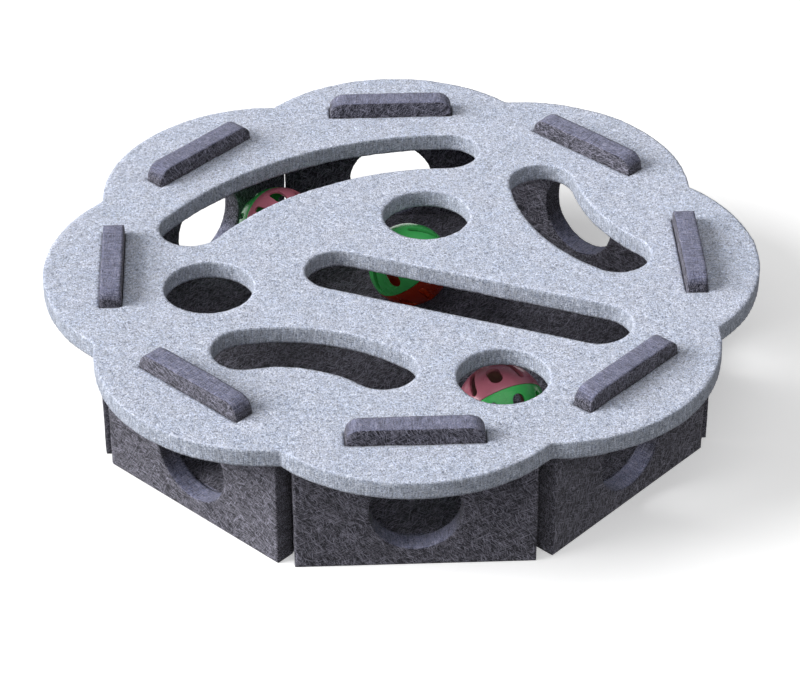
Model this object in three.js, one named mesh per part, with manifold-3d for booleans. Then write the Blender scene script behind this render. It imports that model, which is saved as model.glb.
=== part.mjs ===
// Felt treat puzzle toy.
// Eight felt wall panels stand in a ring round a felt floor. Each has a round hole in its side
// and a tab that comes up through the felt lid, which has eight lobes and seven shaped openings.
// Three hard balls, each of two pierced half shells, lie inside on the floor.
// Millimetres, +Z up, front towards -Y, origin on the ground under the middle of the floor.

import * as THREE from 'three';
import { mergeVertices } from 'three/addons/utils/BufferGeometryUtils.js';
import Module from 'manifold-3d';

// Spacing and smoothness
const GAP = 0.3;
const CHORD_ERROR = 0.1;
const BALL_CHORD_ERROR = 0.15;
const WELD_DISTANCE = 1e-4;

// The ring has one side for each wall panel
const SIDE_COUNT = 8;
const SIDE_TURN = 2 * Math.PI / SIDE_COUNT;
const TOTAL_HEIGHT = 76;

// Felt lid: a ring of equal circles gives its lobes
const LID = { top: 68, thickness: 9, lobeCentre: 88.5, lobeRadius: 81.4 };

// Felt floor
const FLOOR = { thickness: 9 };

// Felt wall panel, with its tab
const WALL = {
  width: 109,
  thickness: 10,
  innerFace: 132,
  holeRadius: 21,
  holeHeight: 30,
  tabWidth: 62,
  tabCorner: 7,
};

// Openings of the lid, seen from above, with slot ends given at the centres of their round ends
const ROUND_HOLES = [
  { x: 13.5, y: 40.5, radius: 21 },
  { x: -91.5, y: -17, radius: 21 },
  { x: 41.5, y: -93.5, radius: 21 },
];
const STRAIGHT_SLOT = { from: [-30, -5], to: [88, -54], width: 32 };
// The ease is how much the inner edge is cut back at the middle of its curve
const CURVED_SLOTS = [
  { from: [-100, 34], via: [-45, 81.5], to: [27, 98], width: 31, ease: 0 },
  { from: [72, 67], via: [80.7, 30.8], to: [102.5, 3.5], width: 32, ease: 2.2 },
  { from: [-74.5, -67.5], via: [-41, -69], to: [-12, -85.5], width: 31, ease: 0 },
];

// Hard balls: the pierced pattern of a half shell, with its pole up
const BALL = {
  radius: 20.5,
  wall: 1.6,
  patternCount: 5,
  holeWidth: 6.4,
  holeLength: 10.4,
  holeLatitude: 26,
  slitWidth: 3.2,
  slitLength: 15.5,
  slitLatitude: 32.5,
};
// Where each ball lies, which way its first half faces, and how far each half is turned
const BALLS = [
  {
    name: 'middle', x: 5.9, y: 54.3, pole: [-0.61, -0.001, 0.793],
    first: { colour: 'green', turn: -33 }, second: { colour: 'orange', turn: 10 },
  },
  {
    name: 'front', x: 43.2, y: -65.7, pole: [-0.358, 0.813, 0.459],
    first: { colour: 'pink', turn: -79 }, second: { colour: 'green', turn: 110 },
  },
  {
    name: 'back', x: -58.1, y: 90.2, pole: [0.559, -0.737, 0.38],
    first: { colour: 'pink', turn: 59 }, second: { colour: 'green', turn: 74 },
  },
];

// Finishes
const FINISHES = {
  light_felt: { colour: 0xc8d0dc, roughness: 0.95 },
  dark_felt: { colour: 0x4c4c56, roughness: 0.95 },
  green_plastic: { colour: 0x4f8a3c, roughness: 0.3 },
  orange_plastic: { colour: 0xc2502c, roughness: 0.3 },
  pink_plastic: { colour: 0xc07a86, roughness: 0.3 },
};

// Wall names, going round from the front towards the right
const WALL_NAMES = [
  'wall_front', 'wall_front_right', 'wall_right', 'wall_back_right',
  'wall_back', 'wall_back_left', 'wall_left', 'wall_front_left',
];

const UP = new THREE.Vector3(0, 0, 1);

// Arcs and outlines

function stepsFor(radius, sweep, error = CHORD_ERROR) {
  const stepAngle = 2 * Math.acos(1 - error / radius);
  return Math.max(2, Math.ceil(Math.abs(sweep) / stepAngle));
}

function arcPoints(centre, radius, start, sweep, { bulge = 0, error = CHORD_ERROR } = {}) {
  const steps = stepsFor(radius, sweep, error);
  const points = [];
  for (let i = 0; i <= steps; i += 1) {
    const share = i / steps;
    const reach = radius + bulge * Math.sin(Math.PI * share);
    const angle = start + sweep * share;
    points.push(new THREE.Vector2(
      centre.x + reach * Math.cos(angle),
      centre.y + reach * Math.sin(angle),
    ));
  }
  return points;
}

function circle(centre, radius) {
  return arcPoints(centre, radius, 0, 2 * Math.PI).slice(0, -1);
}

function withoutRepeats(points) {
  return points.filter((point, i) => {
    const previous = points[(i + points.length - 1) % points.length];
    return point.distanceTo(previous) > WELD_DISTANCE;
  });
}

function straightSlot(from, to, width) {
  const start = new THREE.Vector2(...from);
  const end = new THREE.Vector2(...to);
  const heading = Math.atan2(end.y - start.y, end.x - start.x);
  return [
    ...arcPoints(start, width / 2, heading + Math.PI / 2, Math.PI),
    ...arcPoints(end, width / 2, heading - Math.PI / 2, Math.PI),
  ];
}

// The circle through three points, and the turn along it from the first to the last
function circleThrough(from, via, to) {
  const a = new THREE.Vector2(...from);
  const b = new THREE.Vector2(...via);
  const c = new THREE.Vector2(...to);
  const cross = a.x * (b.y - c.y) + b.x * (c.y - a.y) + c.x * (a.y - b.y);
  const centre = new THREE.Vector2(
    a.lengthSq() * (b.y - c.y) + b.lengthSq() * (c.y - a.y) + c.lengthSq() * (a.y - b.y),
    a.lengthSq() * (c.x - b.x) + b.lengthSq() * (a.x - c.x) + c.lengthSq() * (b.x - a.x),
  ).divideScalar(2 * cross);
  const radius = a.distanceTo(centre);
  const start = Math.atan2(a.y - centre.y, a.x - centre.x);
  const halfChord = a.distanceTo(c) / 2;
  const sweep = 2 * Math.asin(halfChord / radius) * Math.sign(cross);
  return { centre, radius, start, sweep };
}

function curvedSlot({ from, via, to, width, ease }) {
  const { centre, radius, start, sweep } = circleThrough(from, via, to);
  const half = width / 2;
  const side = Math.sign(sweep);
  const endCap = arcPoints(new THREE.Vector2(...to), half, start + sweep, side * Math.PI);
  const startCap = arcPoints(new THREE.Vector2(...from), half, start + Math.PI, side * Math.PI);
  return withoutRepeats([
    ...arcPoints(centre, radius + half, start, sweep),
    ...endCap,
    ...arcPoints(centre, radius - half, start + sweep, -sweep, { bulge: -ease }),
    ...startCap,
  ]);
}

function turned(points, angle) {
  return points.map((point) => point.clone().rotateAround(new THREE.Vector2(), angle));
}

function extruded(outline, holes, depth) {
  const shape = new THREE.Shape(outline);
  shape.holes = holes.map((points) => new THREE.Path(points));
  return new THREE.ExtrudeGeometry(shape, { depth, bevelEnabled: false });
}

// Closed solids for cutting

const wasm = await Module();
wasm.setup();

function toManifold(geometry) {
  const bare = geometry.clone();
  bare.deleteAttribute('normal');
  bare.deleteAttribute('uv');
  const welded = mergeVertices(bare, WELD_DISTANCE);
  const corners = welded.index.array;
  const triangles = [];
  for (let i = 0; i < corners.length; i += 3) {
    const [a, b, c] = corners.slice(i, i + 3);
    if (a !== b && b !== c && c !== a) {
      triangles.push(a, b, c);
    }
  }
  return new wasm.Manifold(new wasm.Mesh({
    numProp: 3,
    vertProperties: new Float32Array(welded.attributes.position.array),
    triVerts: new Uint32Array(triangles),
  }));
}

function toGeometry(solid) {
  const mesh = solid.getMesh();
  const geometry = new THREE.BufferGeometry();
  geometry.setAttribute('position', new THREE.BufferAttribute(mesh.vertProperties, 3));
  geometry.setIndex(new THREE.BufferAttribute(mesh.triVerts, 1));
  geometry.computeVertexNormals();
  return geometry;
}

// Felt lid

function lidOutline() {
  const halfTurn = SIDE_TURN / 2;
  const { lobeCentre, lobeRadius } = LID;
  const sideways = lobeCentre * Math.sin(halfTurn);
  const cuspReach = lobeCentre * Math.cos(halfTurn) + Math.sqrt(lobeRadius ** 2 - sideways ** 2);
  const halfArc = Math.atan2(
    cuspReach * Math.sin(halfTurn),
    cuspReach * Math.cos(halfTurn) - lobeCentre,
  );
  const lobe = arcPoints(new THREE.Vector2(lobeCentre, 0), lobeRadius, -halfArc, 2 * halfArc);
  const outline = [];
  for (let side = 0; side < SIDE_COUNT; side += 1) {
    outline.push(...turned(lobe, side * SIDE_TURN));
  }
  return withoutRepeats(outline);
}

function tabSlot() {
  const near = WALL.innerFace - GAP;
  const far = WALL.innerFace + WALL.thickness + GAP;
  const half = WALL.tabWidth / 2 + GAP;
  return [
    new THREE.Vector2(near, -half),
    new THREE.Vector2(far, -half),
    new THREE.Vector2(far, half),
    new THREE.Vector2(near, half),
  ];
}

function lidGeometry() {
  const openings = [
    ...ROUND_HOLES.map(({ x, y, radius }) => circle(new THREE.Vector2(x, y), radius)),
    straightSlot(STRAIGHT_SLOT.from, STRAIGHT_SLOT.to, STRAIGHT_SLOT.width),
    ...CURVED_SLOTS.map((slot) => curvedSlot(slot)),
  ];
  for (let side = 0; side < SIDE_COUNT; side += 1) {
    openings.push(turned(tabSlot(), side * SIDE_TURN));
  }
  const geometry = extruded(lidOutline(), openings, LID.thickness);
  return geometry.translate(0, 0, LID.top - LID.thickness);
}

// Felt floor

function floorGeometry() {
  const halfTurn = SIDE_TURN / 2;
  const cornerReach = (WALL.innerFace - GAP) / Math.cos(halfTurn);
  const corner = new THREE.Vector2(cornerReach, 0).rotateAround(new THREE.Vector2(), halfTurn);
  const outline = [];
  for (let side = 0; side < SIDE_COUNT; side += 1) {
    outline.push(...turned([corner], side * SIDE_TURN));
  }
  return extruded(outline, [], FLOOR.thickness);
}

// Felt wall panel: outline seen from the front, x along the panel and y up

function wallOutline() {
  const halfWidth = WALL.width / 2;
  const halfTab = WALL.tabWidth / 2;
  const shoulder = LID.top - LID.thickness - GAP;
  const quarter = Math.PI / 2;
  const round = WALL.tabCorner;
  const tabHigh = TOTAL_HEIGHT - round;
  return [
    new THREE.Vector2(halfWidth, 0),
    new THREE.Vector2(halfWidth, shoulder),
    new THREE.Vector2(halfTab, shoulder),
    ...arcPoints(new THREE.Vector2(halfTab - round, tabHigh), round, 0, quarter),
    ...arcPoints(new THREE.Vector2(round - halfTab, tabHigh), round, quarter, quarter),
    new THREE.Vector2(-halfTab, shoulder),
    new THREE.Vector2(-halfWidth, shoulder),
    new THREE.Vector2(-halfWidth, 0),
  ];
}

function wallGeometry(side) {
  const hole = circle(new THREE.Vector2(0, WALL.holeHeight), WALL.holeRadius);
  const geometry = extruded(wallOutline(), [hole], WALL.thickness);
  geometry.rotateX(Math.PI / 2);
  geometry.translate(0, -WALL.innerFace, 0);
  return geometry.rotateZ(side * SIDE_TURN);
}

// Half shell of a ball, pole up and open face down

function halfShell() {
  const outer = BALL.radius;
  const inner = BALL.radius - BALL.wall;
  const rim = GAP / 2;
  const middle = new THREE.Vector2();
  const outerRim = Math.asin(rim / outer);
  const innerRim = Math.asin(rim / inner);
  const quarter = Math.PI / 2;
  const fineness = { error: BALL_CHORD_ERROR };
  const profile = [
    ...arcPoints(middle, inner, quarter, innerRim - quarter, fineness),
    ...arcPoints(middle, outer, outerRim, quarter - outerRim, fineness),
  ];
  profile[0].x = 0;
  profile[profile.length - 1].x = 0;
  const steps = stepsFor(outer, 2 * Math.PI, BALL_CHORD_ERROR);
  const shell = new THREE.LatheGeometry(profile, steps);
  return toManifold(shell.rotateX(Math.PI / 2));
}

// Turns a cutter that points up so that it goes out through the shell, its top to the pole
function aimedThroughShell(cutter, latitude, longitude) {
  const lat = THREE.MathUtils.degToRad(latitude);
  const out = new THREE.Vector3(
    Math.cos(lat) * Math.cos(longitude),
    Math.cos(lat) * Math.sin(longitude),
    Math.sin(lat),
  );
  const east = new THREE.Vector3().crossVectors(UP, out).normalize();
  const north = new THREE.Vector3().crossVectors(out, east);
  const aim = new THREE.Matrix4().makeBasis(east, north, out);
  return cutter.clone().applyMatrix4(aim);
}

// Cutter with round ends, long towards the pole
function longCutter(width, length) {
  const reach = (length - width) / 2;
  const cutter = extruded(straightSlot([0, -reach], [0, reach], width), [], 3 * BALL.wall);
  return cutter.translate(0, 0, BALL.radius - 2 * BALL.wall);
}

function piercedShell() {
  const holeCutter = longCutter(BALL.holeWidth, BALL.holeLength);
  const slitCutter = longCutter(BALL.slitWidth, BALL.slitLength);
  const spacing = 2 * Math.PI / BALL.patternCount;
  let solid = halfShell();
  for (let i = 0; i < BALL.patternCount; i += 1) {
    const hole = aimedThroughShell(holeCutter, BALL.holeLatitude, i * spacing);
    const slit = aimedThroughShell(slitCutter, BALL.slitLatitude, (i + 0.5) * spacing);
    solid = solid.subtract(toManifold(hole)).subtract(toManifold(slit));
  }
  return toGeometry(solid);
}

function ballHalf(shell, ball, half, facing) {
  const pole = new THREE.Vector3(...ball.pole).normalize().multiplyScalar(facing);
  const geometry = shell.clone();
  geometry.rotateZ(THREE.MathUtils.degToRad(half.turn));
  geometry.applyQuaternion(new THREE.Quaternion().setFromUnitVectors(UP, pole));
  return geometry.translate(ball.x, ball.y, FLOOR.thickness + GAP + BALL.radius);
}

// Assembly

function addPiece(group, name, geometry, finish) {
  const { colour, roughness } = FINISHES[finish];
  const material = new THREE.MeshStandardMaterial({ color: colour, roughness, metalness: 0 });
  const mesh = new THREE.Mesh(geometry, material);
  mesh.name = name;
  group.add(mesh);
}

function buildToy() {
  const toy = new THREE.Group();
  addPiece(toy, 'floor', floorGeometry(), 'dark_felt');
  WALL_NAMES.forEach((name, side) => {
    addPiece(toy, name, wallGeometry(side), 'dark_felt');
  });
  addPiece(toy, 'lid', lidGeometry(), 'light_felt');
  const shell = piercedShell();
  for (const ball of BALLS) {
    for (const [half, facing] of [[ball.first, 1], [ball.second, -1]]) {
      const name = `ball_${ball.name}_${half.colour}`;
      addPiece(toy, name, ballHalf(shell, ball, half, facing), `${half.colour}_plastic`);
    }
  }
  return toy;
}

export default buildToy();
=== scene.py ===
"""Felt treat puzzle toy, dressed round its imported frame.

Eight charcoal felt wall panels stand round a charcoal felt floor. Their tabs come up through a
light felt lid with eight lobes, three round holes, a straight slot and three curved slots.
Three lattice balls, each of two moulded half shells, lie on the floor inside.
Metres, +Z up, the front towards -Y.
"""

import logging
import math
from dataclasses import dataclass, field
from enum import Enum
from typing import Any, Callable

import bmesh
import bpy
from mathutils import Matrix, Vector


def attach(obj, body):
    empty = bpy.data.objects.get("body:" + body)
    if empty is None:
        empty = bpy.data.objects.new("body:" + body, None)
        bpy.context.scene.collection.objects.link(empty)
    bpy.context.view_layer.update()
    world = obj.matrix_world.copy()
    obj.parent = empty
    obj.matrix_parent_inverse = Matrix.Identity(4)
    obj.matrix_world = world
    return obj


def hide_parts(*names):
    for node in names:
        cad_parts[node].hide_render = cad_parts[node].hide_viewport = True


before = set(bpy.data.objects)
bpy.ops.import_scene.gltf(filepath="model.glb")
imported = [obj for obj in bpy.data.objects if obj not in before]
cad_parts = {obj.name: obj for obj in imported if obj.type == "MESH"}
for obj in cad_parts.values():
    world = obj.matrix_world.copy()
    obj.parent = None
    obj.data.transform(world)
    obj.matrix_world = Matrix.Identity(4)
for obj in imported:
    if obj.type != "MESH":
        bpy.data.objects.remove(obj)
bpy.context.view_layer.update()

LOG = logging.getLogger("felt_toy")
MM = 0.001
SIDES = 8
SIDE_TURN = math.tau / SIDES
UP = Vector((0, 0, 1))
BOX_BODY = "felt_box"


class Part(Enum):
    """What an edit selects, as the mesh select mode names it."""

    VERTICES = "VERT"
    EDGES = "EDGE"
    FACES = "FACE"


class Carve(Enum):
    """How a second solid acts on a piece."""

    REMOVE = "DIFFERENCE"
    ADD = "UNION"


# Modelling steps


def activate(piece: bpy.types.Object) -> None:
    """Selects one piece alone and makes it active.

    Args:
        piece: The object that the next operator acts on.
    """
    bpy.ops.object.select_all(action="DESELECT")
    piece.select_set(True)
    bpy.context.view_layer.objects.active = piece


def named(name: str) -> bpy.types.Object:
    """Names the newest primitive and applies its place, turn and scale.

    Args:
        name: The name of its object and mesh.

    Returns:
        The object, at the origin and unturned.
    """
    piece = bpy.context.object
    piece.name = name
    piece.data.name = name
    activate(piece)
    bpy.ops.object.transform_apply(location=True, rotation=True, scale=True)
    return piece


def edit(piece: bpy.types.Object, part: Part) -> None:
    """Opens a piece in edit mode with everything selected.

    Args:
        piece: The piece to shape.
        part: What later picks select.
    """
    activate(piece)
    bpy.ops.object.mode_set(mode="EDIT")
    bpy.ops.mesh.select_mode(type=part.value)
    bpy.ops.mesh.select_all(action="SELECT")


def done() -> None:
    """Leaves edit mode."""
    bpy.ops.object.mode_set(mode="OBJECT")


def pick(piece: bpy.types.Object, part: Part, test: Callable[[Any], bool]) -> None:
    """Selects in edit mode only the elements that pass a test.

    Args:
        piece: The piece in edit mode.
        part: Vertices, edges or faces.
        test: Takes a bmesh element and says whether it is selected.
    """
    bpy.ops.mesh.select_mode(type=part.value)
    bpy.ops.mesh.select_all(action="DESELECT")
    mesh = bmesh.from_edit_mesh(piece.data)
    elements = {Part.VERTICES: mesh.verts, Part.EDGES: mesh.edges, Part.FACES: mesh.faces}
    for element in elements[part]:
        element.select_set(test(element))
    mesh.select_flush_mode()
    bmesh.update_edit_mesh(piece.data)


def finish_modifiers(piece: bpy.types.Object) -> None:
    """Applies every modifier of a piece, in order.

    Args:
        piece: The piece to finish.
    """
    activate(piece)
    for modifier in list(piece.modifiers):
        bpy.ops.object.modifier_apply(modifier=modifier.name)


def carve(piece: bpy.types.Object, tool: bpy.types.Object, how: Carve = Carve.REMOVE) -> None:
    """Cuts a tool out of a piece, or joins it on, and deletes the tool.

    Args:
        piece: The piece that changes.
        tool: The closed solid that acts on it.
        how: Whether the tool is removed or added.
    """
    modifier = piece.modifiers.new("carve", "BOOLEAN")
    modifier.object = tool
    modifier.operation = how.value
    modifier.solver = "MANIFOLD"
    finish_modifiers(piece)
    mesh = tool.data
    bpy.data.objects.remove(tool)
    bpy.data.meshes.remove(mesh)


def copied(piece: bpy.types.Object, name: str, placing: Matrix) -> bpy.types.Object:
    """Copies a piece with its own mesh and puts the copy in place.

    Args:
        piece: The master.
        name: The copy's name.
        placing: Where the copy goes, applied to its mesh.

    Returns:
        The copy, at the origin and unturned.
    """
    mesh = piece.data.copy()
    mesh.name = name
    mesh.transform(placing)
    copy = bpy.data.objects.new(name, mesh)
    bpy.context.scene.collection.objects.link(copy)
    return copy


def remove(piece: bpy.types.Object) -> None:
    """Deletes a master once its copies are made.

    Args:
        piece: The master.
    """
    mesh = piece.data
    bpy.data.objects.remove(piece)
    bpy.data.meshes.remove(mesh)


def even_mesh(piece: bpy.types.Object, cell: float) -> None:
    """Gives a sharp-edged solid an even mesh of small faces with soft edges, as felt has.

    Args:
        piece: The solid.
        cell: The size of a face in metres.
    """
    depth = math.ceil(math.log2(max(piece.dimensions) / cell))
    modifier = piece.modifiers.new("even", "REMESH")
    modifier.mode = "SHARP"
    modifier.octree_depth = depth
    modifier.scale = max(piece.dimensions) / cell / 2**depth
    modifier.use_remove_disconnected = False
    soften = piece.modifiers.new("soften", "SMOOTH")
    soften.factor = 0.5
    soften.iterations = 2
    finish_modifiers(piece)


def roughen(piece: bpy.types.Object, size: float, height: float, above: float) -> None:
    """Presses a soft unevenness into a felt piece.

    Args:
        piece: The piece, in place.
        size: The width of a bump in metres.
        height: From the lowest to the highest in metres.
        above: Points lower than this stay, so that a base stays flat.
    """
    group = piece.vertex_groups.new(name="free")
    free = [v.index for v in piece.data.vertices if v.co.z > above]
    group.add(free, 1.0, "REPLACE")
    texture = bpy.data.textures.new("felt_unevenness", "CLOUDS")
    texture.noise_scale = size
    texture.noise_depth = 1
    modifier = piece.modifiers.new("uneven", "DISPLACE")
    modifier.texture = texture
    modifier.texture_coords = "LOCAL"
    modifier.vertex_group = "free"
    modifier.strength = height
    modifier.mid_level = 0.5
    finish_modifiers(piece)
    piece.vertex_groups.clear()


def triangle_count(piece: bpy.types.Object) -> int:
    """The number of triangles in a piece's mesh."""
    return sum(len(face.vertices) - 2 for face in piece.data.polygons)


def report(piece: bpy.types.Object) -> None:
    """Logs a finished piece's name, size and triangles.

    Args:
        piece: The finished piece.
    """
    size = " x ".join(f"{length / MM:.1f}" for length in piece.dimensions)
    LOG.info("%s: %s mm, %d triangles", piece.name, size, triangle_count(piece))


# Materials


def linear(colour: str) -> tuple[float, float, float, float]:
    """Turns an sRGB hex colour to linear values.

    Args:
        colour: Six hex digits.

    Returns:
        Red, green, blue and an alpha of one.
    """
    channels = []
    for start in (0, 2, 4):
        value = int(colour[start:start + 2], 16) / 255
        channels.append(value / 12.92 if value <= 0.04045 else ((value + 0.055) / 1.055) ** 2.4)
    return (channels[0], channels[1], channels[2], 1.0)


def add_node(tree: bpy.types.NodeTree, kind: str, inputs: dict | None = None,
             **settings: Any) -> bpy.types.Node:
    """Adds a node with its settings and links.

    Args:
        tree: The material's node tree.
        kind: The node's type.
        inputs: Socket name or number to a value, or to the output it is linked from.
        settings: The node's own properties.

    Returns:
        The new node.
    """
    node = tree.nodes.new(kind)
    for name, value in settings.items():
        setattr(node, name, value)
    for socket, value in (inputs or {}).items():
        if isinstance(value, bpy.types.NodeSocket):
            tree.links.new(value, node.inputs[socket])
        else:
            node.inputs[socket].default_value = value
    return node


def new_tree(name: str) -> tuple[bpy.types.Material, bpy.types.NodeTree]:
    """Makes a material with an empty node tree.

    Args:
        name: The material's name.

    Returns:
        The material and its tree.
    """
    material = bpy.data.materials.new(name)
    material.use_nodes = True
    material.node_tree.nodes.clear()
    return material, material.node_tree


def noise(tree: bpy.types.NodeTree, vector: bpy.types.NodeSocket, size: float,
          detail: float = 1.0, output: str = "Fac") -> bpy.types.NodeSocket:
    """Adds a soft random pattern.

    Args:
        tree: The material's node tree.
        vector: Where the pattern is looked up.
        size: How wide its features are, in the vector's own unit.
        detail: How many finer patterns are laid over it.
        output: The value or the colour.

    Returns:
        The pattern, mostly between 0.3 and 0.7.
    """
    inputs = {"Vector": vector, "Scale": 1 / size, "Detail": detail, "Roughness": 0.6}
    return add_node(tree, "ShaderNodeTexNoise", inputs).outputs[output]


def ramp(tree: bpy.types.NodeTree, value: bpy.types.NodeSocket, start: float, end: float,
         low: float = 0.0, high: float = 1.0) -> bpy.types.NodeSocket:
    """Spreads one range of a value over another and clamps it there.

    Args:
        tree: The material's node tree.
        value: The value.
        start: What becomes low.
        end: What becomes high.
        low: The first value given back.
        high: The last value given back.

    Returns:
        The spread value.
    """
    inputs = {"Value": value, "From Min": start, "From Max": end, "To Min": low, "To Max": high}
    return add_node(tree, "ShaderNodeMapRange", inputs).outputs[0]


def calculate(tree: bpy.types.NodeTree, operation: str, *values: Any) -> bpy.types.NodeSocket:
    """Adds one step of arithmetic.

    Args:
        tree: The material's node tree.
        operation: The Math node's operation.
        values: Numbers or outputs.

    Returns:
        The result.
    """
    return add_node(tree, "ShaderNodeMath", dict(enumerate(values)), operation=operation).outputs[0]


def blend(tree: bpy.types.NodeTree, amount: Any, first: Any, second: Any) -> bpy.types.NodeSocket:
    """Mixes two colours.

    Args:
        tree: The material's node tree.
        amount: How much of the second shows.
        first: A linear colour or an output.
        second: A linear colour or an output.

    Returns:
        The mixed colour.
    """
    inputs = {"Factor": amount, 6: first, 7: second}
    return add_node(tree, "ShaderNodeMix", inputs, data_type="RGBA").outputs[2]


class Plate(Enum):
    """Which way a felt plate's thickness runs in its pattern's own frame."""

    LYING = (0, 0, 1)
    STANDING = (0, 1, 0)


@dataclass(frozen=True)
class NeedleFelt:
    """Needle-punched polyester felt, about 9 mm thick and cut by die.

    Light and dark fibres are mixed before they are punched. They lie in the plane of the plate, so
    the eye sees a heather of crossing curly threads on its faces, and on a cut edge their ends as
    fine speckle in streaks across the thickness. Slow clouds of lighter and bluer wool cross both.
    """

    name: str
    base: str
    cloud_base: str
    # The next two are cut-face colours. The first is for cut faces that look sideways or down, and it is
    # painted shade: it darkens the charcoal's end faces in the notches and holes. On the light felt the
    # cut edges are darker partly because they are cut and partly from painted shade. The second is for cut
    # faces that look up, and it is painted light from above on the charcoal's tab tops.
    shaded_cut_base: str
    lit_top_cut_base: str
    light_fibre: str
    dark_fibre: str
    light_amount: float
    dark_amount: float
    light_from: float
    dark_from: float
    grain: float
    # Single fibres are about 0.03 mm wide: what shows is tufts of them
    fibre_width: float
    fibre_length: float
    curl: float
    # Which way the needles drew the fibres, as turns in the plane of the plate
    lay: tuple[float, ...]
    # How soft the sides of a thread are, and how far it curls as a share of the curl's size
    thread_side: float = 0.14
    curl_share: float = 0.3
    # A cut edge shows streaks across the thickness, where the needles drew fibres through
    streak_length: float = 4 * MM
    streak_width: float = 0.6 * MM
    fleck: float = 0.75 * MM
    patch: float = 3.2 * MM
    cloud: float = 15 * MM

    def thread_amounts(self, tree: bpy.types.NodeTree, place: bpy.types.NodeSocket, plate: Plate,
                       lean: float) -> tuple[bpy.types.NodeSocket, bpy.types.NodeSocket]:
        """Lays threads across each other.

        Args:
            tree: The material's node tree.
            place: The plate's own coordinates, already curled.
            plate: Which way the thickness runs.
            lean: Turns all threads in the plane of the plate.

        Returns:
            How much of a light thread and of a dark one shows.
        """
        light: Any = 0.0
        dark: Any = 0.0
        for number, angle in enumerate(self.lay):
            along_thread = add_node(
                tree, "ShaderNodeMapping",
                {"Vector": place, "Location": (0.11 * number, 0.07 * number, 0.05 * number),
                 "Rotation": tuple((angle + lean) * share for share in plate.value),
                 "Scale": (self.fibre_length, self.fibre_width, self.fibre_width)},
                vector_type="TEXTURE",
            ).outputs[0]
            tuft = noise(tree, along_thread, 1.0)
            bright = ramp(tree, tuft, self.light_from, self.light_from + self.thread_side)
            dim = ramp(tree, tuft, self.dark_from, self.dark_from - self.thread_side)
            light = calculate(tree, "MAXIMUM", bright, light)
            dark = calculate(tree, "MAXIMUM", dim, dark)
        return light, dark

    def ground(self, tree: bpy.types.NodeTree, own: bpy.types.NodeSocket, face: bpy.types.NodeSocket,
               normal: bpy.types.NodeSocket) -> bpy.types.NodeSocket:
        """Colours the wool under the threads, with painted light on cut faces that look up and painted
        shade on cut faces that look sideways.

        Args:
            tree: The material's node tree.
            own: The plate's own coordinates.
            face: One on a face and nothing on a cut edge.
            normal: Which way the surface looks.

        Returns:
            The colour.
        """
        cloud = ramp(tree, noise(tree, own, self.cloud, 2.0), 0.35, 0.65)
        wool = blend(tree, cloud, linear(self.base), linear(self.cloud_base))
        # Painted light and shade: cut faces that look up get the lighter colour, and those that look
        # sideways get the darker one.
        rise = add_node(tree, "ShaderNodeSeparateXYZ", {0: normal}).outputs["Z"]
        cut = blend(tree, ramp(tree, rise, 0.3, 0.9), linear(self.shaded_cut_base), linear(self.lit_top_cut_base))
        return blend(tree, face, cut, wool)

    def face_amount(self, tree: bpy.types.NodeTree, normal: bpy.types.NodeSocket,
                    plate: Plate, turn: float) -> bpy.types.NodeSocket:
        """Tells the plate's two faces from its cut edges.

        Args:
            tree: The material's node tree.
            normal: Which way the surface looks.
            plate: Which way the thickness runs.
            turn: The plate's turn about Z.

        Returns:
            One on a face and nothing on a cut edge.
        """
        through = Vector(plate.value)
        through.rotate(Matrix.Rotation(turn, 3, "Z"))
        facing = add_node(
            tree, "ShaderNodeVectorMath", {0: normal, 1: tuple(through)}, operation="DOT_PRODUCT",
        ).outputs["Value"]
        return ramp(tree, calculate(tree, "ABSOLUTE", facing), 0.62, 0.9)

    def build(self, plate: Plate, turn: float = 0.0, shift: float = 0.0,
              lean: float = 0.0) -> bpy.types.Material:
        """Makes the material for one plate.

        Args:
            plate: Which way the thickness runs.
            turn: The plate's turn about Z, which its pattern follows.
            shift: Moves the pattern along, so that no two plates look alike.
            lean: Turns the threads in the plane of the plate.

        Returns:
            The material.
        """
        material, tree = new_tree(self.name)
        place = add_node(tree, "ShaderNodeTexCoord")
        own = add_node(
            tree, "ShaderNodeMapping",
            {"Vector": place.outputs["Object"], "Rotation": (0, 0, -turn),
             "Location": (shift, 0, shift)},
        ).outputs[0]
        # A slow wobble curls the straight threads
        wobble = noise(tree, own, self.curl, 1.0, "Color")
        reach = self.curl_share * self.curl
        curled = add_node(
            tree, "ShaderNodeVectorMath", {0: wobble, 1: (reach, reach, reach), 2: own},
            operation="MULTIPLY_ADD",
        ).outputs[0]
        light, dark = self.thread_amounts(tree, curled, plate, lean)
        face = self.face_amount(tree, place.outputs["Normal"], plate, turn)
        streak_size = tuple(
            self.streak_length if through else self.streak_width for through in plate.value
        )
        streaks = add_node(
            tree, "ShaderNodeMapping", {"Vector": own, "Scale": streak_size}, vector_type="TEXTURE",
        ).outputs[0]
        fleck = noise(tree, curled, self.fleck, 2.0)
        streak = noise(tree, streaks, 1.0, 2.0)
        patch = noise(tree, own, self.patch, 1.0)
        ground = self.ground(tree, own, face, place.outputs["Normal"])
        dark_part = calculate(tree, "MULTIPLY", dark, self.dark_amount)
        light_part = calculate(tree, "MULTIPLY", light, self.light_amount)
        threads = blend(tree, dark_part, ground, linear(self.dark_fibre))
        threads = blend(tree, light_part, threads, linear(self.light_fibre))
        speckle = add_node(
            tree, "ShaderNodeMix", {"Factor": face, 2: streak, 3: fleck}, data_type="FLOAT",
        ).outputs[0]
        fine_tone = ramp(tree, speckle, 0.3, 0.7, 1 - self.grain, 1 + self.grain)
        patch_tone = ramp(tree, patch, 0.3, 0.7, 1 - self.grain / 3, 1 + self.grain / 3)
        tone = calculate(tree, "MULTIPLY", fine_tone, patch_tone)
        colour = add_node(
            tree, "ShaderNodeVectorMath", {0: threads, "Scale": tone}, operation="SCALE",
        ).outputs[0]
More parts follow.
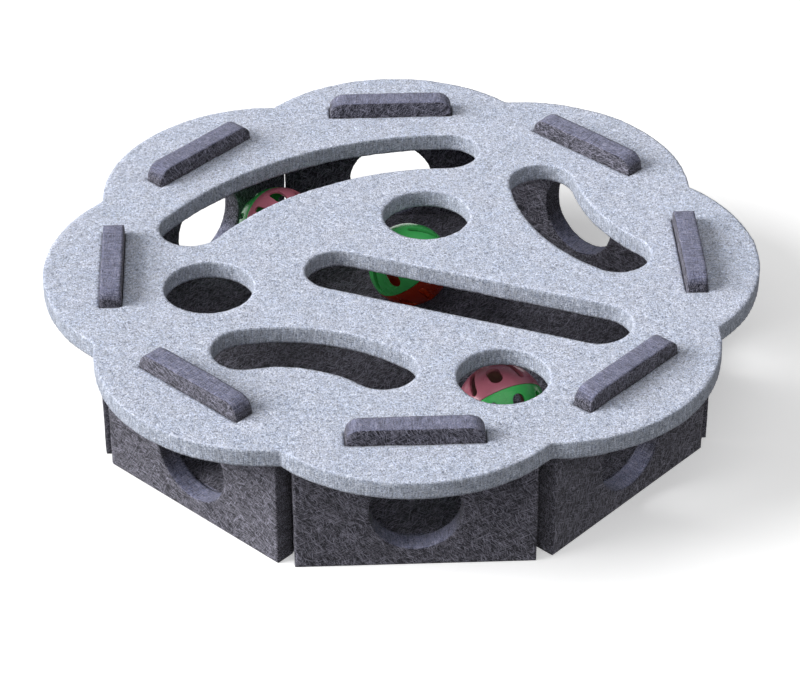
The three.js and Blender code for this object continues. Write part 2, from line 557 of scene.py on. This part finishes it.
        height = calculate(tree, "MULTIPLY_ADD", light, 0.5, speckle)
        bump = add_node(
            tree, "ShaderNodeBump", {"Height": height, "Strength": 0.7, "Distance": 0.4 * MM},
        ).outputs[0]
        shader = add_node(
            tree, "ShaderNodeBsdfPrincipled",
            {"Base Color": colour, "Roughness": 0.95, "Specular IOR Level": 0.15,
             "Sheen Weight": 0.15, "Sheen Roughness": 0.5, "Normal": bump},
        ).outputs[0]
        add_node(tree, "ShaderNodeOutputMaterial", {"Surface": shader})
        return material


@dataclass(frozen=True)
class MouldedPolypropylene:
    """Injection-moulded polypropylene, polished tool: soft broad highlights on a waxy colour."""

    name: str
    colour: str
    shade: str

    def build(self) -> bpy.types.Material:
        """Makes the material."""
        material, tree = new_tree(self.name)
        place = add_node(tree, "ShaderNodeTexCoord").outputs["Object"]
        # Flow marks of the moulding, a few millimetres across
        flow = noise(tree, place, 6 * MM, 2.0)
        marks = ramp(tree, flow, 0.35, 0.65, 0.0, 0.35)
        colour = blend(tree, marks, linear(self.colour), linear(self.shade))
        gloss = ramp(tree, flow, 0.3, 0.7, 0.2, 0.3)
        fine = noise(tree, place, 1.2 * MM, 2.0)
        bump = add_node(
            tree, "ShaderNodeBump", {"Height": fine, "Strength": 0.15, "Distance": 0.05 * MM},
        ).outputs[0]
        shader = add_node(
            tree, "ShaderNodeBsdfPrincipled",
            {"Base Color": colour, "Roughness": gloss, "IOR": 1.49, "Normal": bump},
        ).outputs[0]
        add_node(tree, "ShaderNodeOutputMaterial", {"Surface": shader})
        return material


LIGHT_FELT = NeedleFelt(
    name="needle_felt_light_grey",
    base="c8d2ea", cloud_base="d0d7ec", shaded_cut_base="a6afc2", lit_top_cut_base="a6afc2",
    light_fibre="f4f7ff", dark_fibre="4c5468", light_amount=0.5, dark_amount=0.75,
    light_from=0.55, dark_from=0.43, grain=0.34,
    fibre_width=0.5 * MM, fibre_length=2.0 * MM, curl=7 * MM, lay=(0.35, 1.15, 1.9, 2.75),
)
# The charcoal's near-black cut colour is painted shade, and its light bluish top cut colour is painted
# light from above.
CHARCOAL_FELT = NeedleFelt(
    name="needle_felt_charcoal",
    base="3d3c44", cloud_base="34333c", shaded_cut_base="17171e", lit_top_cut_base="7c809e",
    light_fibre="a3a1b2", dark_fibre="121218", light_amount=0.75, dark_amount=0.75,
    light_from=0.56, dark_from=0.43, grain=0.42,
    fibre_width=0.38 * MM, fibre_length=8 * MM, curl=20 * MM, lay=(0.6, 1.0, 1.4, 2.7),
)
PLASTICS = {
    "green": MouldedPolypropylene("moulded_polypropylene_green", "58dc74", "48cc66"),
    "pink": MouldedPolypropylene("moulded_polypropylene_pink", "d97f92", "cb7288"),
    "orange": MouldedPolypropylene("moulded_polypropylene_orange", "b5300e", "a42b0c"),
}


# Felt pieces


@dataclass(frozen=True)
class Slot:
    """A slot of the lid: a straight or curved band with round ends, seen from above."""

    start: tuple[float, float]
    via: tuple[float, float]
    end: tuple[float, float]
    width: float
    ease: float = 0.0

    def circle(self, points: list[Vector]) -> tuple[Vector, float]:
        """The circle through three points.

        Args:
            points: Three points in the plane.

        Returns:
            Its centre and radius.
        """
        a, b, c = points
        cross = a.x * (b.y - c.y) + b.x * (c.y - a.y) + c.x * (a.y - b.y)
        squares = [point.length_squared for point in points]
        centre = Vector((
            squares[0] * (b.y - c.y) + squares[1] * (c.y - a.y) + squares[2] * (a.y - b.y),
            squares[0] * (c.x - b.x) + squares[1] * (a.x - c.x) + squares[2] * (b.x - a.x),
        )) / (2 * cross)
        return centre, (a - centre).length

    def tools(self, low: float, high: float) -> list[bpy.types.Object]:
        """The solids that cut the slot out of a plate.

        Args:
            low: The bottom of the cut.
            high: The top of the cut.

        Returns:
            A band and its two round ends, and a thin band more where an edge is eased.
        """
        start, via, end = (Vector(point) for point in (self.start, self.via, self.end))
        solids = [round_tool(point, self.width / 2, low, high) for point in (start, end)]
        bow = (via - start).cross(end - start)
        if abs(bow) < 1e-9:
            solids.append(straight_band(start, end, self.width, low, high))
            return solids
        centre, radius = self.circle([start, via, end])
        solids.append(curved_band(centre, radius, start, end, self.width, low, high))
        if self.ease:
            inner_radius = radius - self.width / 2
            inner = [centre + (point - centre).normalized() * inner_radius for point in (start, end)]
            middle = centre + (via - centre).normalized() * (inner_radius - self.ease)
            eased, eased_radius = self.circle([inner[0], middle, inner[1]])
            strip = 6 * MM
            reach = eased_radius + strip / 2
            outward = [eased + (point - eased).normalized() * reach for point in inner]
            solids.append(curved_band(eased, reach, outward[0], outward[1], strip, low, high))
        return solids

    def area(self) -> float:
        """The slot's area, without its ease."""
        start, via, end = (Vector(point) for point in (self.start, self.via, self.end))
        length = (via - start).length + (end - via).length
        return length * self.width + math.pi * (self.width / 2) ** 2


def round_tool(centre: Vector, radius: float, low: float, high: float) -> bpy.types.Object:
    """A round upright cutter.

    Args:
        centre: Its middle, seen from above.
        radius: Its radius.
        low: Its bottom.
        high: Its top.

    Returns:
        The cutter.
    """
    bpy.ops.mesh.primitive_cylinder_add(
        vertices=96, radius=radius, depth=high - low, location=(centre.x, centre.y, (low + high) / 2),
    )
    return named("cutter")


def straight_band(start: Vector, end: Vector, width: float, low: float, high: float) -> bpy.types.Object:
    """An upright block between two points.

    Args:
        start: One end, seen from above.
        end: The other end.
        width: Across the band.
        low: Its bottom.
        high: Its top.

    Returns:
        The cutter.
    """
    middle = (start + end) / 2
    run = end - start
    bpy.ops.mesh.primitive_cube_add(
        size=1, location=(middle.x, middle.y, (low + high) / 2), rotation=(0, 0, math.atan2(run.y, run.x)),
        scale=(run.length, width, high - low),
    )
    return named("cutter")


def curved_band(centre: Vector, radius: float, start: Vector, end: Vector, width: float,
                low: float, high: float) -> bpy.types.Object:
    """A block spun round an arc, by the shorter way.

    Args:
        centre: The arc's centre, seen from above.
        radius: The arc's radius, at the middle of the band.
        start: Where the arc starts.
        end: Where it ends.
        width: Across the band.
        low: Its bottom.
        high: Its top.

    Returns:
        The cutter.
    """
    first = math.atan2(start.y - centre.y, start.x - centre.x)
    last = math.atan2(end.y - centre.y, end.x - centre.x)
    sweep = (last - first + math.pi) % math.tau - math.pi
    # The spin runs clockwise seen from above, so it starts at the far end
    from_here = last if sweep > 0 else first
    sweep = abs(sweep)
    away = Vector((math.cos(from_here), math.sin(from_here))) * radius
    bpy.ops.mesh.primitive_plane_add(
        size=1, location=(centre.x + away.x, centre.y + away.y, (low + high) / 2),
        rotation=(math.pi / 2, 0, from_here),
    )
    bpy.context.object.scale = (width, high - low, 1)
    band = named("cutter")
    edit(band, Part.FACES)
    bpy.ops.mesh.spin(
        steps=max(8, round(math.degrees(sweep) / 1.5)), angle=sweep,
        center=(centre.x, centre.y, (low + high) / 2), axis=(0, 0, 1),
    )
    bpy.ops.mesh.select_all(action="SELECT")
    bpy.ops.mesh.remove_doubles(threshold=0.001 * MM)
    bpy.ops.mesh.normals_make_consistent(inside=False)
    done()
    return band


@dataclass
class FeltWalls:
    """The ring of eight upright felt panels, each with a round hole and a tab."""

    width: float = 109 * MM
    thickness: float = 10 * MM
    inner_face: float = 132 * MM
    shoulder: float = 58.7 * MM
    top: float = 76 * MM
    tab_width: float = 62 * MM
    tab_corner: float = 7 * MM
    hole_radius: float = 21 * MM
    hole_height: float = 30 * MM
    cell: float = 1.05 * MM
    names: tuple[str, ...] = (
        "wall_front", "wall_front_right", "wall_right", "wall_back_right",
        "wall_back", "wall_back_left", "wall_left", "wall_front_left",
    )

    def flat_area(self) -> float:
        """The area of one panel as cut."""
        body = self.width * self.shoulder + self.tab_width * (self.top - self.shoulder)
        return body - math.pi * self.hole_radius**2

    def model_panel(self) -> bpy.types.Object:
        """Models the front panel.

        Returns:
            The panel, in the front wall's place.
        """
        middle = -(self.inner_face + self.thickness / 2)
        bpy.ops.mesh.primitive_cube_add(
            size=1, location=(0, middle, self.shoulder / 2),
            scale=(self.width, self.thickness, self.shoulder),
        )
        panel = named("panel")
        half_tab = self.tab_width / 2
        edit(panel, Part.FACES)
        for side in (-half_tab, half_tab):
            bpy.ops.mesh.select_all(action="SELECT")
            bpy.ops.mesh.bisect(plane_co=(side, 0, 0), plane_no=(1, 0, 0))
        pick(
            panel, Part.FACES,
            lambda face: face.normal.z > 0.9 and abs(face.calc_center_median().x) < half_tab,
        )
        bpy.ops.mesh.extrude_region_move(
            TRANSFORM_OT_translate={"value": (0, 0, self.top - self.shoulder)},
        )
        pick(panel, Part.EDGES, self.is_tab_corner)
        bpy.ops.mesh.bevel(offset=self.tab_corner, segments=8, affect="EDGES")
        done()
        bpy.ops.mesh.primitive_cylinder_add(
            vertices=96, radius=self.hole_radius, depth=3 * self.thickness,
            location=(0, middle, self.hole_height), rotation=(math.pi / 2, 0, 0),
        )
        carve(panel, named("cutter"))
        even_mesh(panel, self.cell)
        return panel

    def is_tab_corner(self, edge: bmesh.types.BMEdge) -> bool:
        """Whether an edge runs through the thickness at a top corner of the tab."""
        half_tab = self.tab_width / 2
        near = 0.1 * MM
        ends = [
            abs(abs(end.co.x) - half_tab) < near and abs(end.co.z - self.top) < near
            for end in edge.verts
        ]
        return all(ends) and abs(edge.verts[0].co.y - edge.verts[1].co.y) > self.thickness / 2

    def build(self) -> list[bpy.types.Object]:
        """Builds, places and dresses the eight panels.

        Returns:
            The panels, going round from the front to the right.
        """
        master = self.model_panel()
        panels = []
        for side, node in enumerate(self.names):
            turn = side * SIDE_TURN
            panel = copied(master, f"felt_{node}", Matrix.Rotation(turn, 4, "Z"))
            roughen(panel, 16 * MM, 0.5 * MM, 0.5 * MM)
            roughen(panel, 2 * MM, 0.3 * MM, 0.5 * MM)
            panel.data.materials.clear()
            panel.data.materials.append(CHARCOAL_FELT.build(Plate.STANDING, turn, 0.31 * side, 0.8 * side))
            panel.data.shade_smooth()
            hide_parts(node)
            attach(panel, BOX_BODY)
            self.flat_area()
            report(panel)
            panels.append(panel)
        remove(master)
        return panels


@dataclass
class FeltFloor:
    """The felt octagon that lies inside the ring of walls."""

    apothem: float = 131.7 * MM
    thickness: float = 9 * MM
    cell: float = 2.2 * MM

    def build(self) -> bpy.types.Object:
        """Builds and dresses the floor.

        Returns:
            The floor.
        """
        radius = self.apothem / math.cos(SIDE_TURN / 2)
        bpy.ops.mesh.primitive_cylinder_add(
            vertices=SIDES, radius=radius, depth=self.thickness, location=(0, 0, self.thickness / 2),
            rotation=(0, 0, SIDE_TURN / 2),
        )
        floor = named("felt_floor")
        edit(floor, Part.EDGES)
        pick(floor, Part.EDGES, lambda edge: min(v.co.z for v in edge.verts) > self.thickness / 2)
        bpy.ops.mesh.bevel(offset=0.8 * MM, segments=3, affect="EDGES")
        done()
        even_mesh(floor, self.cell)
        roughen(floor, 20 * MM, 0.5 * MM, 1.0 * MM)
        floor.data.materials.clear()
        floor.data.materials.append(CHARCOAL_FELT.build(Plate.LYING))
        floor.data.shade_smooth()
        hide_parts("floor")
        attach(floor, BOX_BODY)
        report(floor)
        return floor


@dataclass
class FeltLid:
    """The felt lid: eight lobes, slots for the tabs, and the holes and slots for play."""

    top: float = 68 * MM
    thickness: float = 9 * MM
    lobe_centre: float = 88.5 * MM
    lobe_radius: float = 81.4 * MM
    tab_clearance: float = 0.3 * MM
    hole_radius: float = 21 * MM
    cell: float = 1.34 * MM
    walls: FeltWalls = field(default_factory=FeltWalls)
    holes: tuple[tuple[float, float], ...] = (
        (13.5 * MM, 40.5 * MM), (-91.5 * MM, -17 * MM), (41.5 * MM, -93.5 * MM),
    )
    slots: tuple[Slot, ...] = (
        Slot((-30 * MM, -5 * MM), (29 * MM, -29.5 * MM), (88 * MM, -54 * MM), 32 * MM),
        Slot((-100 * MM, 34 * MM), (-45 * MM, 81.5 * MM), (27 * MM, 98 * MM), 31 * MM),
        Slot((72 * MM, 67 * MM), (80.7 * MM, 30.8 * MM), (102.5 * MM, 3.5 * MM), 32 * MM, 2.2 * MM),
        Slot((-74.5 * MM, -67.5 * MM), (-41 * MM, -69 * MM), (-12 * MM, -85.5 * MM), 31 * MM),
    )

    def cusp(self) -> Vector:
        """Where a lobe meets the next, from the lid's middle, with the lobe along X."""
        half = SIDE_TURN / 2
        sideways = self.lobe_centre * math.sin(half)
        reach = self.lobe_centre * math.cos(half) + math.sqrt(self.lobe_radius**2 - sideways**2)
        return Vector((reach * math.cos(half), reach * math.sin(half)))

    def flat_area(self) -> float:
        """The lid's area as cut."""
        cusp = self.cusp()
        half_arc = math.atan2(cusp.y, cusp.x - self.lobe_centre)
        wedge = self.lobe_centre * cusp.y + half_arc * self.lobe_radius**2
        tab_slots = SIDES * self.walls.tab_width * self.walls.thickness
        holes = len(self.holes) * math.pi * self.hole_radius**2
        return SIDES * wedge - tab_slots - holes - sum(slot.area() for slot in self.slots)

    def model(self) -> bpy.types.Object:
        """Models the lid.

        Returns:
            The lid in place.
        """
        low = self.top - self.thickness
        middle = Vector((0, 0))
        lid = round_tool(middle, self.lobe_centre + 45 * MM, low, self.top)
        lid.name = "felt_lid"
        lid.data.name = "felt_lid"
        for side in range(SIDES):
            away = Vector((math.cos(side * SIDE_TURN), math.sin(side * SIDE_TURN)))
            bpy.ops.mesh.primitive_cylinder_add(
                vertices=240, radius=self.lobe_radius, depth=self.thickness,
                location=(away.x * self.lobe_centre, away.y * self.lobe_centre, low + self.thickness / 2),
            )
            carve(lid, named("lobe"), Carve.ADD)
        reach = 3 * self.thickness
        for hole in self.holes:
            carve(lid, round_tool(Vector(hole), self.hole_radius, low - reach, self.top + reach))
        for slot in self.slots:
            for tool in slot.tools(low - reach, self.top + reach):
                carve(lid, tool)
        for side in range(SIDES):
            carve(lid, self.tab_tool(side * SIDE_TURN, low - reach, self.top + reach))
        return lid

    def tab_tool(self, turn: float, low: float, high: float) -> bpy.types.Object:
        """The cutter for one tab's slot.

        Args:
            turn: Which way the slot lies from the middle.
            low: Its bottom.
            high: Its top.

        Returns:
            The cutter.
        """
        away = self.walls.inner_face + self.walls.thickness / 2
        spare = 2 * self.tab_clearance
        bpy.ops.mesh.primitive_cube_add(
            size=1, location=(away * math.cos(turn), away * math.sin(turn), (low + high) / 2),
            rotation=(0, 0, turn),
            scale=(self.walls.thickness + spare, self.walls.tab_width + spare, high - low),
        )
        return named("cutter")

    def build(self) -> bpy.types.Object:
        """Builds and dresses the lid.

        Returns:
            The lid.
        """
        lid = self.model()
        even_mesh(lid, self.cell)
        roughen(lid, 18 * MM, 0.5 * MM, 0.0)
        roughen(lid, 2.2 * MM, 0.3 * MM, 0.0)
        lid.data.materials.clear()
        lid.data.materials.append(LIGHT_FELT.build(Plate.LYING))
        lid.data.shade_smooth()
        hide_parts("lid")
        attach(lid, BOX_BODY)
        self.flat_area()
        report(lid)
        return lid


# Balls


@dataclass(frozen=True)
class BallPlace:
    """Where a ball lies, which way its first half's pole points, and each half's colour and turn."""

    name: str
    middle: tuple[float, float, float]
    pole: tuple[float, float, float]
    colours: tuple[str, str]
    turns: tuple[float, float]


@dataclass
class LatticeBalls:
    """Three loose balls, each of two pierced half shells that snap together."""

    radius: float = 20.5 * MM
    wall: float = 1.6 * MM
    rim: float = 0.15 * MM
    pattern_count: int = 5
    hole_width: float = 6.4 * MM
    hole_length: float = 10.4 * MM
    hole_latitude: float = 26
    slit_width: float = 3.2 * MM
    slit_length: float = 15.5 * MM
    slit_latitude: float = 32.5
    height: float = 29.8 * MM

    def places(self) -> list[BallPlace]:
        """The three balls."""
        return [
            BallPlace("middle", (5.9 * MM, 54.3 * MM, self.height), (-0.61, -0.001, 0.793),
                      ("green", "orange"), (-33, 10)),
            BallPlace("front", (43.2 * MM, -65.7 * MM, self.height), (-0.358, 0.813, 0.459),
                      ("pink", "green"), (-79, 110)),
            BallPlace("back", (-58.1 * MM, 90.2 * MM, self.height), (0.559, -0.737, 0.38),
                      ("pink", "green"), (59, 74)),
        ]

    def aim(self, latitude: float, longitude: float) -> Matrix:
        """Turns an upright cutter at the origin to point out of the shell, its Y to the pole."""
        lat = math.radians(latitude)
        out = Vector((
            math.cos(lat) * math.cos(longitude),
            math.cos(lat) * math.sin(longitude),
            math.sin(lat),
        ))
        east = UP.cross(out).normalized()
        north = out.cross(east)
        return Matrix((east, north, out)).transposed().to_4x4()

    def long_tool(self, width: float, length: float) -> bpy.types.Object:
        """Models a long cutter with round ends: a cylinder whose two halves are pulled apart.

        Args:
            width: Across.
            length: From end to end, along Y.

        Returns:
            The cutter.
        """
        bpy.ops.mesh.primitive_cylinder_add(
            vertices=32, radius=width / 2, depth=4 * self.wall,
            location=(0, 0, self.radius), rotation=(0, 0, math.pi / 32),
        )
        tool = named("cutter")
        pull = (length - width) / 2
        edit(tool, Part.VERTICES)
        for way in (-1, 1):
            pick(tool, Part.VERTICES, lambda vertex, way=way: vertex.co.y * way > 0.001 * MM)
            bpy.ops.transform.translate(value=(0, way * pull, 0))
        done()
        return tool

    def model_half(self) -> bpy.types.Object:
        """Models a half shell with its pole up.

        Returns:
            The half shell, round the origin.
        """
        bpy.ops.mesh.primitive_uv_sphere_add(segments=80, ring_count=40, radius=self.radius)
        half = named("half_shell")
        edit(half, Part.FACES)
        bpy.ops.mesh.bisect(plane_co=(0, 0, self.rim), plane_no=(0, 0, 1), clear_inner=True)
        done()
        thicken = half.modifiers.new("wall", "SOLIDIFY")
        thicken.thickness = self.wall
        thicken.offset = -1
        finish_modifiers(half)
        hole = self.long_tool(self.hole_width, self.hole_length)
        slit = self.long_tool(self.slit_width, self.slit_length)
        spacing = math.tau / self.pattern_count
        for number in range(self.pattern_count):
            carve(half, copied(hole, "hole", self.aim(self.hole_latitude, number * spacing)))
            carve(half, copied(slit, "slit", self.aim(self.slit_latitude, (number + 0.5) * spacing)))
        remove(hole)
        remove(slit)
        soften = half.modifiers.new("lips", "BEVEL")
        soften.width = 0.35 * MM
        soften.segments = 3
        soften.limit_method = "ANGLE"
        soften.angle_limit = math.radians(35)
        finish_modifiers(half)
        activate(half)
        bpy.ops.object.shade_smooth_by_angle(angle=math.radians(35))
        return half

    def build(self) -> list[bpy.types.Object]:
        """Builds, places and dresses the six half shells.

        Returns:
            The half shells.
        """
        master = self.model_half()
        halves = []
        for ball in self.places():
            for colour, turn, facing in zip(ball.colours, ball.turns, (1, -1)):
                pole = Vector(ball.pole).normalized() * facing
                placing = (
                    Matrix.Translation(ball.middle)
                    @ UP.rotation_difference(pole).to_matrix().to_4x4()
                    @ Matrix.Rotation(math.radians(turn), 4, "Z")
                )
                half = copied(master, f"lattice_half_{ball.name}_{colour}", placing)
                half.data.materials.clear()
                half.data.materials.append(PLASTICS[colour].build())
                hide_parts(f"ball_{ball.name}_{colour}")
                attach(half, f"ball_{ball.name}")
                report(half)
                halves.append(half)
        remove(master)
        return halves


# Studio


@dataclass
class Studio:
    """A plain white floor, soft light from the left and above, and the camera."""

    azimuth: float = -2.385
    elevation: float = 35.673
    distance: float = 1545.3 * MM
    target: tuple[float, float, float] = (0, 25.0 * MM, 0)
    roll: float = -0.102
    lens: float = 140.9
    key_strength: float = 4.0
    key_from: tuple[float, float, float] = (-0.86, -0.08, 0.46)
    fill_strength: float = 0.7
    fill_from: tuple[float, float, float] = (0.0, -0.55, 0.8)
    sky_strength: float = 0.23
    floor_glow: float = 0.35

    def add_camera(self) -> None:
        """Adds the camera at the viewing angle of the picture."""
        azimuth = math.radians(self.azimuth)
        elevation = math.radians(self.elevation)
        roll = math.radians(self.roll)
        back = Vector((
            math.sin(azimuth) * math.cos(elevation),
            -math.cos(azimuth) * math.cos(elevation),
            math.sin(elevation),
        ))
        level = UP.cross(back).normalized()
        upright = back.cross(level)
        right = level * math.cos(roll) + upright * math.sin(roll)
        above = upright * math.cos(roll) - level * math.sin(roll)
        data = bpy.data.cameras.new("camera")
        data.lens = self.lens
        data.sensor_width = 36
        data.sensor_fit = "HORIZONTAL"
        data.clip_end = 50
        camera = bpy.data.objects.new("camera", data)
        turn = Matrix((right, above, back)).transposed().to_4x4()
        camera.matrix_world = Matrix.Translation(Vector(self.target) + back * self.distance) @ turn
        bpy.context.scene.collection.objects.link(camera)
        bpy.context.scene.camera = camera

    def add_floor(self) -> None:
        """Adds the plain pale floor, lit from within so that its shadows stay faint.

        It sends no light back to the felt, because the picture's toy was cut out from its ground.
        """
        bpy.ops.mesh.primitive_plane_add(size=30, location=(0, 0, -0.05 * MM))
        floor = named("studio_floor")
        material, tree = new_tree("matt_white_paper")
        white = linear("fafafa")
        shader = add_node(
            tree, "ShaderNodeBsdfPrincipled",
            {"Base Color": white, "Roughness": 1.0, "Specular IOR Level": 0.0,
             "Emission Color": white, "Emission Strength": self.floor_glow},
        ).outputs[0]
        add_node(tree, "ShaderNodeOutputMaterial", {"Surface": shader})
        floor.data.materials.append(material)
        floor.visible_diffuse = False

    def add_lamp(self, name: str, strength: float, spread: float, origin: tuple[float, ...]) -> None:
        """Adds one far softbox.

        Args:
            name: The lamp's name.
            strength: Its strength.
            spread: How wide it looks from the toy, in degrees.
            origin: The direction that its light comes from.
        """
        data = bpy.data.lights.new(name, "SUN")
        data.energy = strength
        data.angle = math.radians(spread)
        lamp = bpy.data.objects.new(name, data)
        lamp.rotation_euler = Vector(origin).to_track_quat("Z", "Y").to_euler()
        bpy.context.scene.collection.objects.link(lamp)

    def add_light(self) -> None:
        """Adds a broad key from the left, a fill from above the camera and an even white sky."""
        self.add_lamp("key", self.key_strength, 38, self.key_from)
        self.add_lamp("fill", self.fill_strength, 60, self.fill_from)
        world = bpy.data.worlds.new("sky")
        world.use_nodes = True
        background = world.node_tree.nodes["Background"]
        background.inputs["Color"].default_value = (1.0, 1.0, 1.0, 1.0)
        background.inputs["Strength"].default_value = self.sky_strength
        bpy.context.scene.world = world
        bpy.context.scene.view_settings.view_transform = "Standard"


def main() -> None:
    """Builds the studio and the toy."""
    logging.basicConfig(level=logging.INFO, format="%(message)s")
    studio = Studio()
    studio.add_camera()
    studio.add_floor()
    studio.add_light()
    walls = FeltWalls()
    FeltFloor().build()
    walls.build()
    FeltLid(walls=walls).build()
    LatticeBalls().build()


if __name__ == "__main__":
    main()
